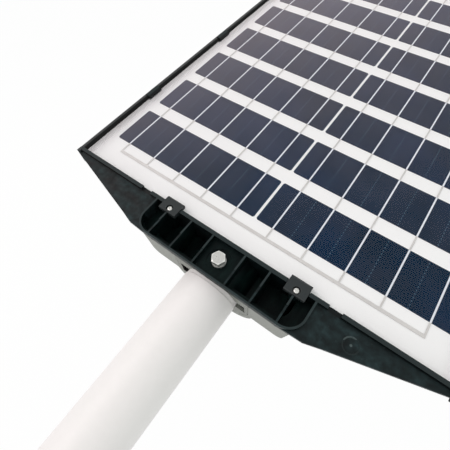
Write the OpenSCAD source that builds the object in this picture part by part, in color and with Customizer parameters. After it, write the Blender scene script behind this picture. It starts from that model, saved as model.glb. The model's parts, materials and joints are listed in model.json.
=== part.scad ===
// Solar street lamp: a panel and light head on a round arm.
// Frame: origin at the centre of the arm's free end, +Y along the arm to the head, +Z up.

/* [Arm] */
// Outside diameter of the coated arm
arm_od = 48.3; // [44:0.1:52]
// Wall of the arm tube
arm_wall = 2; // [1.5:0.1:3]
// Length of the arm
arm_len = 400; // [300:1:600]
// Length of the arm inside the head
arm_insert = 62.5; // [62:0.5:70]
// Depth by which the arm's inner end is turned down for its socket
seat_cut = 0.6; // [0.5:0.05:0.8]

/* [Solar panel] */
// Width of one cell strip
cell_w = 156.75; // [150:0.25:166]
// Height of one cell strip
cell_h = 43.3; // [39:0.1:52]
// Gap between the two cells of a row
cell_gap = 3.35; // [2:0.05:6]
// Gap between rows
row_gap = 14.1; // [8:0.1:18]
// Number of rows
rows = 9; // [7:1:10]
// Busbars on each cell
busbars = 5; // [3:1:6]
// Width of a busbar ribbon
ribbon_w = 1.3; // [0.8:0.1:2]
// Width of the collecting ribbon
bus_w = 2.6; // [2:0.1:5]
// Glass beyond the cells at each side
side_margin = 10.6; // [8:0.1:16]
// Glass behind the first row
rear_margin = 30; // [24:0.5:40]
// Glass in front of the last row
front_margin = 12; // [10:0.5:24]
// Thickness of the glass
glass_t = 3.2; // [2.5:0.1:4]
// Collecting ribbon behind the first row
bus_rear = 11; // [6:0.5:16]
// Collecting ribbon in front of the last row
bus_front = 4.5; // [3.5:0.1:5]
// Thickness of the back sheet
sheet_t = 0.85; // [0.5:0.05:1.2]
// Thickness of a cell
cell_t = 0.25; // [0.2:0.01:0.4]
// Thickness of a ribbon
ribbon_t = 0.2; // [0.1:0.01:0.3]
// Top of the glass above the arm's axis
glass_z = 31; // [30.5:0.1:36]

/* [Tray] */
// Width of a side rail
rail_w = 6.2; // [5:0.1:9]
// Rail crest above the glass
rail_rise = 2; // [1.5:0.1:3]
// Height of the tray's side wall
skirt_h = 18; // [14:0.5:24]
// Wall of the tray
tray_wall = 2.5; // [2:0.1:3]
// Rim, lip and rib tops above the glass
rim_rise = 3; // [2.5:0.1:4]
// Thickness of the pocket's rim
rim_t = 1.6; // [1.2:0.1:2.4]
// Half length of the pocket
pocket_hw = 73.4; // [70:0.1:80]
// Width of the pocket along the arm
pocket_d = 27.4; // [26:0.1:32]
// Corner radius of the pocket
pocket_r = 12.5; // [8:0.5:13]
// Floor of the pocket above the arm's axis
pocket_floor_z = 8; // [4:0.5:14]
// Thickness of the rear lip
lip_t = 3.2; // [2.5:0.1:5]
// Angle of the wing's rear edge
wing_angle = 15.3; // [12:0.1:18]
// Thickness of a pocket rib
rib_t = 1.5; // [1:0.1:2.4]
// Distance of each pair of pocket ribs from the centre
rib_x = [15, 36.8, 59]; // [10:0.1:66]
// Length of a snap tab
tab_l = 16.5; // [10:0.5:24]
// Distance between snap tabs
tab_pitch = 118.2; // [90:0.1:130]
// First snap tab from the rear of the glass
tab_first = 92.7; // [60:0.1:110]

/* [Clamp and clips] */
// Thread of the clamp bolt
bolt_d = 6; // [5:0.5:8]
// Distance across the flats of the bolt's head
bolt_af = 10; // [8:0.5:13]
// Height of the bolt's head
bolt_head_h = 4; // [3.5:0.1:6]
// Bolt from the pocket's panel side wall
bolt_in = 13.5; // [12:0.1:15]
// Thickness of each washer
washer_t = 1.6; // [1:0.1:2]
// Thickness of the square nut
nut_t = 3.2; // [2.5:0.1:3.4]
// Width of a rear clip
clip_w = 17; // [14:0.5:22]
// Thickness of a rear clip
clip_t = 4; // [3:0.1:5]
// Reach of a rear clip over the glass
clip_over = 4; // [3:0.1:6]

/* [Lower casing] */
// Wall of the casing
shell_t = 2.5; // [2:0.1:3]
// Half width of the tail under the tray
tail_hw = 70; // [66:0.5:76]
// Depth of the tail below the arm's axis
tail_drop = 10; // [6:0.5:14]
// Radius of the collar round the arm
collar_r = 40; // [38:0.5:44]
// Half width of the light body
body_hw = 112; // [104:1:130]
// Front of the light body behind the tray's front
body_setback = 31; // [26:0.5:45]
// Depth of the light body below the arm's axis
body_drop = 14; // [12:0.5:20]
// Radius of the body's lower edges
edge_r = 12; // [6:1:16]
// Wall of the pole socket
socket_wall = 3.2; // [2.6:0.1:3.4]
// Radial play of the arm in its socket
socket_fit = 0.08; // [0.03:0.01:0.1]

/* [Light engine] */
// Columns of lights on a board
led_cols = 3; // [2:1:3]
// Rows of lights on a board
led_rows = 10; // [6:1:10]
// Distance between columns
led_px = 20; // [16:0.5:21]
// Distance between rows
led_py = 24; // [18:0.5:25]
// Radius of a lens dome
dome_r = 6.5; // [5:0.1:8]
// Diameter of a battery cell
batt_d = 32; // [26:0.5:32.5]
// Length of a battery cell
batt_l = 70; // [60:0.5:72]

/* [Sensor and button] */
// Radius of the sensor's dome
sensor_r = 11; // [8:0.5:13]
// Radius of the power button
button_r = 6.5; // [5:0.1:8]
// Travel of the power button
button_travel = 1.5; // [1:0.1:1.8]

/* [Hidden] */
$fn = 64;
// Gap between moulded pieces that seat on each other
gap = 0.3;
// Overlap that makes a cut pass its face
eps = 1;

// Heights of the panel's layers
sheet_z = glass_z - glass_t - ribbon_t - cell_t - sheet_t;
cell_z = sheet_z + sheet_t;
ribbon_z = cell_z + cell_t;
pane_z = ribbon_z + ribbon_t;

// Tail and pocket along the arm
tail_y = arm_len - arm_insert;
pocket_y0 = tail_y + rim_t;
pocket_y1 = pocket_y0 + pocket_d;
lip_y1 = pocket_y1 + lip_t;
panel_y0 = lip_y1 + gap;
cells_y0 = panel_y0 + rear_margin;
cells_l = rows * cell_h + (rows - 1) * row_gap;
panel_y1 = cells_y0 + cells_l + front_margin;
panel_hw = cell_w + cell_gap / 2 + side_margin;
rail_in = panel_hw + gap;
tray_hw = rail_in + rail_w;
tray_y1 = panel_y1 + gap + rail_w;

// Heights of the tray
floor_z = sheet_z - tray_wall;
rail_z = glass_z + rail_rise;
rim_z = glass_z + rim_rise;
wing_z = glass_z - tray_wall;
skirt_z = rail_z - skirt_h;
rail_edge_drop = 1.4;
crest_in = 0.8;
crest_drop = 0.5;
edge_round = 1;
wing_back = 4.7;
wing_y = lip_y1 - wing_back;
kink_out = 18.1;
kink_x = pocket_hw + kink_out;
kink_y = wing_y - (tray_hw - kink_x) * tan(wing_angle);

// Casing
case_step = 2.2;
case_y0 = tail_y + case_step;
neck_l = 5;
body_y0 = arm_len + neck_l;
body_y1 = tray_y1 - body_setback;
body_l = body_y1 - body_y0;
body_z = -body_drop;
body_in_z = body_z + shell_t;
gasket_t = 1;
rim_body_z = floor_z - gasket_t;
shoulder_run = 1.07;
shoulder_y = body_y0 + shoulder_run * (body_hw - tail_hw);
fairing_l = 60;

// Clamp
arm_r = arm_od / 2 - seat_cut;
socket_r = arm_r + socket_fit;
socket_or = socket_r + socket_wall;
bay_r = socket_or + gap;
bay_z = bay_r + 2.2;
seat_dip = 0.5;
bolt_y = pocket_y1 - bolt_in;
head_z = bay_z - seat_dip + 2 * washer_t;
nut_z = arm_r + 0.35;
nut_w = bolt_d + 4;
washer_r = 0.56 * bolt_af;
hex_turn = 5;
flange_r = collar_r - shell_t - 2;
flange_t = shell_t;
socket_end_t = 3;
socket_y1 = arm_len + socket_end_t;
arm_gap = 1;
arm_free = tail_y - arm_gap;

// Clips
clip_x = rib_x[2];
clip_back = 9;
clip_y0 = panel_y0 - clip_back;
clip_y1 = panel_y0 + clip_over;
clip_screw_back = 5;
clip_screw_y = panel_y0 - clip_screw_back;
clip_screw_r = 1.5;
clip_head_r = 2.2;
lip_gap_x = [pocket_hw + 9.3, pocket_hw + 19.2];

// Screws between casing and tray
ear_z = floor_z - 7;
ear_t = 3;
ear_r = 6;
ear_root = 2;
ear_x = body_hw + ear_r - 1 + gap;
ear_rear = 22;
ear_front = 35;
ear_n = 4;
ear_pitch = (body_y1 - ear_front - shoulder_y - ear_rear) / (ear_n - 1);
ear_y = [for (k = [0:ear_n - 1]) shoulder_y + ear_rear + k * ear_pitch];
front_ear_x = body_hw / 2;
front_ear_y = body_y1 + ear_r - 1 + gap;
screw_r = 1.65;
pilot_r = screw_r + 0.1;
pass_r = screw_r + 0.5;
screw_head_r = 3.5;
screw_head_h = 2.5;
socket_boss_x = socket_or + 9;
socket_boss_y = [panel_y0 + 10, arm_len - 4];
socket_ear_z = floor_z - 9;

// Light engine
board_side = 10;
board_end = 12;
board_w = (led_cols - 1) * led_px + 2 * board_side;
board_l = (led_rows - 1) * led_py + 2 * board_end;
board_t = 1.6;
plate_side = 12;
plate_end = 8;
plate_w = board_w + 2 * plate_side;
plate_l = board_l + 2 * plate_end;
plate_t = 3;
plate_gap = 8;
plate_x = (plate_w + plate_gap) / 2;
engine_front = 24;
engine_y1 = body_y1 - engine_front;
engine_y = engine_y1 - plate_l / 2;
engine_y0 = engine_y1 - plate_l;
window_side = 3;
window_end = 2;
window_w = board_w + 2 * window_side;
window_l = board_l + 2 * window_end;
lens_gasket_t = 0.8;
plate_z = body_z - lens_gasket_t - plate_t;
lens_screw_in = 4.5;
lens_screw_x = plate_w / 2 - lens_screw_in;
lens_screw_y = [for (k = [-1:1]) k * (plate_l / 2 - lens_screw_in)];
lens_screw_r = 1.2;
spreader_t = 3;
rest_h = 6.1;
spreader_z = body_in_z + rest_h;
spreader_hw = plate_x + plate_w / 2;
rest_w = 4;
lead_hole_r = 6;
chip_w = 3.5;
chip_h = 0.8;
post_h = 5.4;

// Battery
batt_r = batt_d / 2;
batt_rear = 12;
batt_y0 = body_y0 + shell_t + batt_rear;
batt_pitch = batt_d + 1;
strip_w = 24;
strip_clear = 6;
cradle_base = 2;
batt_z = body_in_z + cradle_base + gap + batt_r;
cradle_wall = 3;
batt_room = engine_y0 - batt_y0 - 2 * cradle_wall - strip_w - 2 * strip_clear;
batt_rows = floor(batt_room / batt_pitch);
cradle_hw = batt_l + 4;
cradle_l = batt_rows * batt_pitch + 2 * cradle_wall;
cradle_h = 12;
link_t = 0.3;
link_w = 8;

// Sensor strip between the battery and the light engine
strip_y = (batt_y0 + cradle_l + engine_y0) / 2;
strip_rise = 11.5;
strip_z = body_in_z + strip_rise;
strip_hw = 75;
strip_t = 1.6;
button_x = 58;
button_gap = 0.3;
button_flange_r = button_r + 2;
button_flange_t = 1.4;
button_out = 2.2;
switch_w = 8;
switch_h = 5;
plunger_r = 1.5;
pin_r = 3;

// Shared shapes
module box(x0, x1, y0, y1, z0, z1) {
    translate([x0, y0, z0]) cube([x1 - x0, y1 - y0, z1 - z0]);
}

module post(x, y, z0, z1, r) {
    translate([x, y, z0]) cylinder(r = r, h = z1 - z0);
}

module slab(z0, z1) {
    translate([0, 0, z0]) linear_extrude(z1 - z0) children();
}

module along_y(y0, y1) {
    translate([0, y1, 0]) rotate([90, 0, 0]) linear_extrude(y1 - y0) children();
}

module along_x(x0, x1) {
    translate([x0, 0, 0]) rotate([90, 0, 90]) linear_extrude(x1 - x0) children();
}

module rod_y(r, y0, y1) {
    translate([0, y0, 0]) rotate([-90, 0, 0]) cylinder(r = r, h = y1 - y0);
}

module both_sides() {
    children();
    mirror([1, 0, 0]) children();
}

// Arm
module arm_tube() {
    color("white") difference() {
        union() {
            rod_y(arm_od / 2, 0, arm_free);
            rod_y(arm_r, arm_free - eps, arm_len);
        }
        rod_y(arm_od / 2 - arm_wall, -eps, arm_len + eps);
    }
}

// Tray
tab_rise = 2.6;
tab_in = panel_hw - 3;
tab_out = rail_in + 2.5;
front_corner_r = 6;
wing_foot = 11.5;
tail_bow = 1;
rib_step = 0.6;
tub_y0 = case_y0 + rim_t;
case_rim_drop = 8.5;
case_rim_z = wing_z - case_rim_drop;
tub_low_hw = tail_hw - shell_t - gap - rim_t - 3;
tub_low_y0 = case_y0 + shell_t + gap + rim_t;
tub_draft = 3;
tub_r = pocket_r - 2;
clip_boss_r = 4;
jb_w = 56;
jb_l = 44;
jb_h = 14;
jb_front = 60;
jb_y = engine_y + jb_front;
under_rib_t = 1.8;
under_rib_x = ear_x + ear_r + 5;
under_rib_n = 8;
mark_x = pocket_hw + 32.6;
mark_r = 5.5;

function tab_y(k) = panel_y0 + tab_first + k * tab_pitch;
tab_count = floor((panel_y1 - panel_y0 - tab_first - tab_l) / tab_pitch) + 1;

module rail_profile() {
    polygon([
        [rail_in, floor_z], [rail_in, rail_z - crest_drop], [rail_in + crest_in, rail_z],
        [tray_hw - edge_round, rail_z - rail_edge_drop], [tray_hw, rail_z - rail_edge_drop - edge_round],
        [tray_hw, skirt_z], [tray_hw - tray_wall, skirt_z], [tray_hw - tray_wall, floor_z]
    ]);
}

module tail_plan() {
    half = [
        [tray_hw, lip_y1], [tray_hw, wing_y], [kink_x, kink_y],
        [kink_x - wing_foot, tail_y + tail_bow], [pocket_hw - pocket_r, tail_y]
    ];
    polygon(concat(half, [for (i = [len(half) - 1:-1:0]) [-half[i].x, half[i].y]]));
}

// Outline with round rear corners, as the pocket has at every depth
module pocket_plan(hw, y0, r, wall = 0) {
    translate([-hw, y0 + r]) square([2 * hw, pocket_y1 + wall - y0 - r]);
    translate([r - hw, y0]) square([2 * (hw - r), r + eps]);
    for (side = [-1, 1]) translate([side * (hw - r), y0 + r]) circle(r = r);
}

module tub_low(grow, z0) {
    hull($fn = 32) {
        slab(case_rim_z - 0.1, case_rim_z)
            pocket_plan(tub_low_hw + grow, tub_low_y0 - grow, tub_r, grow);
        slab(z0, z0 + 0.1)
            pocket_plan(tub_low_hw - tub_draft + grow, tub_low_y0 + 1 - grow, tub_r, grow);
    }
}

module pocket_shell() {
    difference() {
        union() {
            slab(wing_z, rim_z) pocket_plan(pocket_hw + rim_t, tail_y, pocket_r + rim_t);
            slab(case_rim_z, wing_z + 0.5) pocket_plan(pocket_hw + rim_t, case_y0, pocket_r, rim_t);
            tub_low(rim_t, pocket_floor_z - rim_t);
        }
        difference() {
            union() {
                slab(wing_z, rim_z + eps) pocket_plan(pocket_hw, pocket_y0, pocket_r);
                slab(case_rim_z + rim_t, wing_z + 0.5) pocket_plan(pocket_hw, tub_y0, pocket_r - rim_t);
                slab(case_rim_z - 0.1, case_rim_z + rim_t + eps)
                    pocket_plan(tub_low_hw, tub_low_y0, tub_r);
                tub_low(0, pocket_floor_z);
            }
            rod_y(bay_r + rim_t, tail_y, pocket_y1 + eps);
            box(-rib_x[0], rib_x[0], tail_y, pocket_y1, 0, bay_z);
        }
    }
}

module pocket_ribs() {
    for (x = rib_x) both_sides() {
        mid = (pocket_y0 + pocket_y1) / 2;
        box(x - rib_t / 2, x + rib_t / 2, mid, pocket_y1 + eps, pocket_floor_z, rim_z);
        box(x - rib_t / 2, x + rib_t / 2, pocket_y0 - 0.2, mid, case_rim_z + eps, rim_z - rib_step);
        box(x - rib_t / 2, x + rib_t / 2, tub_low_y0, mid, pocket_floor_z, case_rim_z + 2 * eps);
    }
}

module snap_tab(y) {
    along_y(y - tab_l / 2, y + tab_l / 2) polygon([
        [tab_in, glass_z], [tab_out, glass_z], [tab_out, glass_z + tab_rise],
        [tab_in + 2, glass_z + tab_rise], [tab_in, glass_z + tab_rise - 1.4]
    ]);
}

module tray_plates() {
    box(-rail_in - eps, rail_in + eps, pocket_y1, panel_y1 + gap + eps, floor_z, sheet_z);
    slab(wing_z, glass_z) tail_plan();
    box(-rail_in - eps, rail_in + eps, pocket_y1, lip_y1, floor_z, rim_z);
    both_sides() along_y(wing_y, tray_y1) rail_profile();
    along_x(-tray_hw, tray_hw) translate([panel_y1 + gap - rail_in, 0]) rail_profile();
}

module tray_under_ribs() {
    rib_bottom = skirt_z + 4;
    first = panel_y0 + 20;
    last = panel_y1 - 20;
    both_sides() {
        box(under_rib_x, under_rib_x + under_rib_t, first, last + under_rib_t, rib_bottom, floor_z + 0.5);
        for (k = [0:under_rib_n - 1]) {
            y = first + k * (last - first) / (under_rib_n - 1);
            box(under_rib_x, tray_hw - tray_wall + 0.5, y, y + under_rib_t, rib_bottom, floor_z + 0.5);
        }
    }
}

module tray_bosses() {
    for (y = ear_y) both_sides() post(ear_x, y, ear_z, floor_z + 0.5, ear_r - 1);
    both_sides() post(front_ear_x, front_ear_y, ear_z, floor_z + 0.5, ear_r - 1);
    for (y = socket_boss_y) both_sides() post(socket_boss_x, y, socket_ear_z, floor_z + 0.5, ear_r - 1);
    both_sides() post(clip_x, clip_screw_y, pocket_floor_z, glass_z, clip_boss_r);
}

module tray_holes() {
    for (y = ear_y) both_sides() post(ear_x, y, ear_z - eps, floor_z + 0.8, pilot_r);
    both_sides() post(front_ear_x, front_ear_y, ear_z - eps, floor_z + 0.8, pilot_r);
    for (y = socket_boss_y) both_sides() post(socket_boss_x, y, socket_ear_z - eps, floor_z + 0.8, pilot_r);
    both_sides() post(clip_x, clip_screw_y, glass_z - 12, glass_z + eps, clip_screw_r + 0.1);
    both_sides() box(clip_x - clip_w / 2 - gap, clip_x + clip_w / 2 + gap,
        clip_y0 - gap, lip_y1 + eps, glass_z, rim_z + eps);
    both_sides() box(lip_gap_x[0], lip_gap_x[1], pocket_y1 - eps, lip_y1 + eps, glass_z, rim_z + eps);
    rod_y(bay_r, tail_y - eps, socket_y1 + gap);
    box(-nut_w / 2 - 0.2, nut_w / 2 + 0.2, bolt_y - nut_w / 2 - 0.2, bolt_y + nut_w / 2 + 0.2,
        arm_r, nut_z + nut_t + 0.05);
    post(0, bolt_y, arm_r, bay_z + eps, bolt_d / 2 + gap);
    post(0, bolt_y, bay_z - seat_dip, bay_z + eps, bolt_af);
    box(-jb_w / 2 - gap, jb_w / 2 + gap, jb_y - jb_l / 2 - gap, jb_y + jb_l / 2 + gap,
        floor_z - eps, sheet_z + eps);
    both_sides() difference() {
        box(tray_hw - front_corner_r, tray_hw + eps, tray_y1 - front_corner_r, tray_y1 + eps,
            skirt_z - eps, rail_z + eps);
        post(tray_hw - front_corner_r, tray_y1 - front_corner_r, skirt_z - 2 * eps, rail_z + 2 * eps,
            front_corner_r);
    }
    difference() {
        post(mark_x, bolt_y + 2, glass_z - 0.3, glass_z + eps, mark_r);
        post(mark_x, bolt_y + 2, glass_z - eps, glass_z + 2 * eps, mark_r - 0.8);
    }
}

module upper_tray() {
    color("#25292b") difference() {
        union() {
            difference() {
                tray_plates();
                slab(wing_z - eps, rim_z + eps) pocket_plan(pocket_hw, pocket_y0, pocket_r);
            }
            pocket_shell();
            pocket_ribs();
            tray_under_ribs();
            tray_bosses();
            for (k = [0:tab_count - 1]) both_sides() snap_tab(tab_y(k));
        }
        tray_holes();
    }
}

// Panel
module solar_glass() {
    color("lightcyan", 0.4) box(-panel_hw, panel_hw, panel_y0, panel_y1, pane_z, glass_z);
}

module solar_cells() {
    color("#1c2340") for (side = [-1, 1], row = [0:rows - 1]) {
        x = side * (cell_w + cell_gap) / 2;
        y = cells_y0 + row * (cell_h + row_gap);
        box(x - cell_w / 2, x + cell_w / 2, y, y + cell_h, cell_z, ribbon_z);
    }
}

function busbar_x(side, k) = side * (cell_w + cell_gap) / 2 + cell_w * ((k + 0.5) / busbars - 0.5);

module cell_ribbons() {
    bus_y = [cells_y0 - bus_rear, cells_y0 + cells_l + bus_front];
    end_x = busbar_x(1, busbars - 1) + ribbon_w / 2;
    color("gainsboro") slab(ribbon_z, pane_z) {
        for (side = [-1, 1], k = [0:busbars - 1])
            translate([busbar_x(side, k) - ribbon_w / 2, bus_y[0]]) square([ribbon_w, bus_y[1] - bus_y[0]]);
        for (y = bus_y) translate([-end_x, y - bus_w / 2]) square([2 * end_x, bus_w]);
    }
}

module back_sheet() {
    border = 5;
    color("whitesmoke") difference() {
        box(-panel_hw, panel_hw, panel_y0, panel_y1, sheet_z, pane_z);
        box(border - panel_hw, panel_hw - border, panel_y0 + border, panel_y1 - border, cell_z, pane_z + eps);
    }
}

module seal_profile() {
    polygon([[panel_hw - 2, glass_z], [rail_in, glass_z], [rail_in, glass_z + 1.4]]);
}

module panel_seal() {
    color("#181818") difference() {
        union() {
            both_sides() along_y(panel_y0, panel_y1 + gap) seal_profile();
            along_x(-rail_in, rail_in) translate([panel_y1 + gap - rail_in, 0]) seal_profile();
        }
        for (k = [0:tab_count - 1]) both_sides() box(tab_in - eps, rail_in + eps,
            tab_y(k) - tab_l / 2 - gap, tab_y(k) + tab_l / 2 + gap, glass_z - eps, rail_z + eps);
    }
}

module junction_box() {
    lid_in = 2;
    color("#202020") {
        box(-jb_w / 2, jb_w / 2, jb_y - jb_l / 2, jb_y + jb_l / 2, sheet_z - jb_h + lid_in, sheet_z);
        box(lid_in - jb_w / 2, jb_w / 2 - lid_in, jb_y - jb_l / 2 + lid_in, jb_y + jb_l / 2 - lid_in,
            sheet_z - jb_h, sheet_z - jb_h + lid_in);
    }
}

// Rear clips
clip_top = glass_z + clip_t;
clip_seat_z = clip_top - 2.4;

module rear_clip(side) {
    x = side * clip_x;
    color("#32383a") difference() {
        along_x(x - clip_w / 2, x + clip_w / 2) polygon([
            [clip_y0, glass_z], [clip_y1, glass_z], [clip_y1, clip_top - 1.2], [clip_y1 - 1.2, clip_top],
            [clip_y0 + 0.6, clip_top], [clip_y0, clip_top - 0.6]
        ]);
        post(x, clip_screw_y, clip_seat_z, clip_top + eps, clip_head_r + 0.7);
        post(x, clip_screw_y, glass_z - eps, clip_top, clip_screw_r + 0.2);
    }
}

module rear_clip_left() {
    rear_clip(-1);
}

module rear_clip_right() {
    rear_clip(1);
}

module rear_clip_screws() {
    color("silver") both_sides() {
        post(clip_x, clip_screw_y, clip_seat_z, clip_seat_z + 1.8, clip_head_r);
        post(clip_x, clip_screw_y, glass_z - 10, clip_seat_z + eps, clip_screw_r);
    }
}

// Clamp
module clamp_bolt() {
    hex_r = bolt_af / 2 / cos(30);
    crown_r = bolt_af / 2 - 0.1;
    color("silver") translate([0, bolt_y, head_z]) {
        intersection() {
            rotate([0, 0, hex_turn]) cylinder(r = hex_r, h = bolt_head_h, $fn = 6);
            cylinder(r1 = crown_r + bolt_head_h * tan(60), r2 = crown_r, h = bolt_head_h);
        }
        translate([0, 0, arm_r + gap - head_z]) cylinder(d = bolt_d, h = head_z - arm_r - gap + eps);
    }
}

module ring(z0, z1, r_in, r_out) {
    difference() {
        post(0, bolt_y, z0, z1, r_out);
        post(0, bolt_y, z0 - eps, z1 + eps, r_in);
    }
}

module clamp_spring_washer() {
    color("silver") difference() {
        ring(head_z - washer_t, head_z, bolt_d / 2 + 0.2, bolt_d / 2 + 2);
        translate([0, bolt_y, head_z - washer_t / 2]) rotate([0, 0, 70]) rotate([40, 0, 0])
            translate([0, -0.4, -2 * washer_t]) cube([bolt_d, 0.8, 4 * washer_t]);
    }
}

module clamp_flat_washer() {
    color("silver") ring(head_z - 2 * washer_t, head_z - washer_t, bolt_d / 2 + 0.2, washer_r);
}

module clamp_nut() {
    color("silver") difference() {
        box(-nut_w / 2, nut_w / 2, bolt_y - nut_w / 2, bolt_y + nut_w / 2, nut_z, nut_z + nut_t);
        post(0, bolt_y, nut_z - eps, nut_z + nut_t + eps, bolt_d / 2 + 0.05);
    }
}

// Socket
notch_z = -8;
notch_h = 15;
notch_edge = 3.5;
notch_depth = 14;

module flange_section(r, top) {
    circle(r = r);
    translate([-r, 0]) square([2 * r, top]);
}

module below(top) {
    intersection() {
        children();
        translate([-2 * body_hw, -2 * body_hw]) square([4 * body_hw, 2 * body_hw + top]);
    }
}

module pole_socket() {
    color("#b9bab2") difference() {
        union() {
            rod_y(socket_or, case_y0, socket_y1);
            along_y(case_y0, case_y0 + flange_t) below(case_rim_z - gap) flange_section(flange_r, case_rim_z);
            for (y = socket_boss_y) both_sides() {
                post(socket_boss_x, y, socket_ear_z - ear_t, socket_ear_z, ear_r);
                box(socket_r - 2, socket_boss_x, y - ear_r, y + ear_r, socket_ear_z - ear_t, socket_ear_z);
            }
        }
        rod_y(socket_r, case_y0 - eps, arm_len + gap);
        rod_y(socket_r - 6, case_y0, socket_y1 + eps);
        box(-socket_or, socket_or, pocket_y1, socket_y1 + eps, sheet_z - gap, socket_or + eps);
        for (y = socket_boss_y) both_sides()
            post(socket_boss_x, y, socket_ear_z - ear_t - eps, socket_ear_z + eps, pass_r);
        both_sides() box(socket_r - 1, flange_r - notch_edge, case_y0 - eps, case_y0 + notch_depth,
            notch_z, notch_z + notch_h);
        box(-nut_w / 2 - 0.2, nut_w / 2 + 0.2, bolt_y - nut_w / 2 - 0.2, bolt_y + nut_w / 2 + 0.2,
            arm_r / 2, socket_or + eps);
    }
}

module screw_up(x, y, z, depth) {
    post(x, y, z - screw_head_h, z, screw_head_r);
    post(x, y, z - eps, z + depth, screw_r);
}

module socket_screws() {
    color("silver") for (y = socket_boss_y) both_sides()
        screw_up(socket_boss_x, y, socket_ear_z - ear_t, ear_t + 8);
}

// Lower casing
module arc_pan(hw, z0, r, inset, draft, top) {
    right = concat(
        [[hw - inset, top]],
        [for (a = [0:15:90]) [hw - draft - r + (r - inset) * cos(a), z0 + r - (r - inset) * sin(a)]]
    );
    polygon(concat(right, [for (i = [len(right) - 1:-1:0]) [-right[i].x, right[i].y]]));
}

module tail_section(inset, top) {
    arc_pan(tail_hw, -tail_drop, 8, inset, 3, top);
    below(min(top, case_rim_z)) circle(r = collar_r - inset);
}

module body_plan() {
    r = 16;
    cut = 26;
    half = [
        [tail_hw + 2, body_y0], [body_hw, shoulder_y], [body_hw, body_y1 - cut], [body_hw - cut, body_y1]
    ];
    offset(r = r) offset(delta = -r)
        polygon(concat(half, [for (i = [len(half) - 1:-1:0]) [-half[i].x, half[i].y]]));
}

module body_form(inset, top) {
    intersection() {
        slab(body_z, top) offset(delta = -inset) body_plan();
        along_y(body_y0, body_y1) arc_pan(body_hw, body_z, edge_r, inset, 0, top);
        translate([0, body_y0 + body_l / 2, 0]) along_x(-body_hw, body_hw)
            arc_pan(body_l / 2, body_z, edge_r, inset, 0, top);
    }
}

module tail_form(inset, y0, over) {
    along_y(y0, body_y0) tail_section(inset, case_rim_z - gap + over);
    along_y(max(y0, lip_y1 + gap), body_y0) tail_section(inset, floor_z - gap + over);
    intersection() {
        translate([0, body_y0, 0]) rotate([-90, 0, 0])
            cylinder(r1 = collar_r - inset, r2 = body_drop - 2 - inset, h = fairing_l);
        box(-collar_r, collar_r, body_y0, body_y0 + fairing_l, -collar_r, 0);
    }
}

module casing_ears() {
    for (y = ear_y) both_sides() {
        post(ear_x, y, ear_z - ear_t, ear_z, ear_r);
        box(ear_x - ear_r - ear_root, ear_x, y - ear_r, y + ear_r, ear_z - ear_t, ear_z);
    }
    both_sides() {
        post(front_ear_x, front_ear_y, ear_z - ear_t, ear_z, ear_r);
        box(front_ear_x - ear_r, front_ear_x + ear_r, front_ear_y - ear_r - ear_root, front_ear_y,
            ear_z - ear_t, ear_z);
    }
}

module engine_sides() {
    for (side = [-1, 1]) translate([side * plate_x, engine_y, 0]) children();
}

module lens_screw_spots() {
    for (sx = [-1, 1], y = lens_screw_y) translate([sx * lens_screw_x, y, 0]) children();
}

module casing_inside() {
    for (x = [-spreader_hw + rest_w / 2, 0, spreader_hw - rest_w / 2])
        box(x - rest_w / 2, x + rest_w / 2, engine_y0, engine_y1,
            body_in_z - eps, spreader_z);
    engine_sides() lens_screw_spots() post(0, 0, body_in_z - eps, spreader_z - 1, 3.2);
    both_sides() post(strip_hw - 4, strip_y, body_in_z - eps, strip_z, 3);
}

module casing_holes() {
    engine_sides() {
        box(-window_w / 2, window_w / 2, -window_l / 2, window_l / 2, body_z - eps, body_in_z + eps);
        lens_screw_spots() post(0, 0, body_z - eps, spreader_z - 2, lens_screw_r + 0.1);
    }
    post(0, strip_y, body_z - eps, body_in_z + eps, sensor_r + gap);
    post(button_x, strip_y, body_z - eps, body_in_z + eps, button_r + button_gap);
    post(-button_x, strip_y, body_z - eps, body_in_z + eps, pin_r + gap);
    along_y(case_y0 - eps, case_y0 + shell_t + eps) flange_section(flange_r + gap, 2 * case_rim_z);
    for (y = ear_y) both_sides() post(ear_x, y, ear_z - ear_t - eps, ear_z + eps, pass_r);
    both_sides() post(front_ear_x, front_ear_y, ear_z - ear_t - eps, ear_z + eps, pass_r);
}

module lower_casing() {
    color("#b4b5ad") difference() {
        union() {
            difference() {
                tail_form(0, case_y0, 0);
                tail_form(shell_t, case_y0 + shell_t, eps);
                body_form(shell_t, rim_body_z + eps);
            }
            difference() {
                union() {
                    body_form(0, rim_body_z);
                    casing_ears();
                }
                body_form(shell_t, rim_body_z + eps);
            }
            casing_inside();
        }
        casing_holes();
    }
}

module casing_gasket() {
    color("#303030") slab(rim_body_z, floor_z) difference() {
        offset(delta = -0.2) body_plan();
        offset(delta = -shell_t + 0.2) body_plan();
    }
}

module casing_screws() {
    color("silver") {
        for (y = ear_y) both_sides() screw_up(ear_x, y, ear_z - ear_t, ear_t + 6);
        both_sides() screw_up(front_ear_x, front_ear_y, ear_z - ear_t, ear_t + 6);
    }
}

// Light engine
module heat_spreader() {
    color("lightgrey") difference() {
        box(-spreader_hw, spreader_hw, engine_y0, engine_y1,
            spreader_z, spreader_z + spreader_t);
        for (x = [-1, 1], y = [-1, 1])
            post(x * spreader_hw / 2, engine_y + y * 0.4 * plate_l, spreader_z - eps,
                spreader_z + spreader_t + eps, lead_hole_r);
    }
}

module led_board(side) {
    color("white") translate([side * plate_x, engine_y, 0])
        box(-board_w / 2, board_w / 2, -board_l / 2, board_l / 2, spreader_z - board_t, spreader_z);
}

module led_board_left() {
    led_board(-1);
}

module led_board_right() {
    led_board(1);
}

module led_spots() {
    for (i = [0:led_cols - 1], j = [0:led_rows - 1])
        translate([(i - (led_cols - 1) / 2) * led_px, (j - (led_rows - 1) / 2) * led_py, 0]) children();
}

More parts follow.
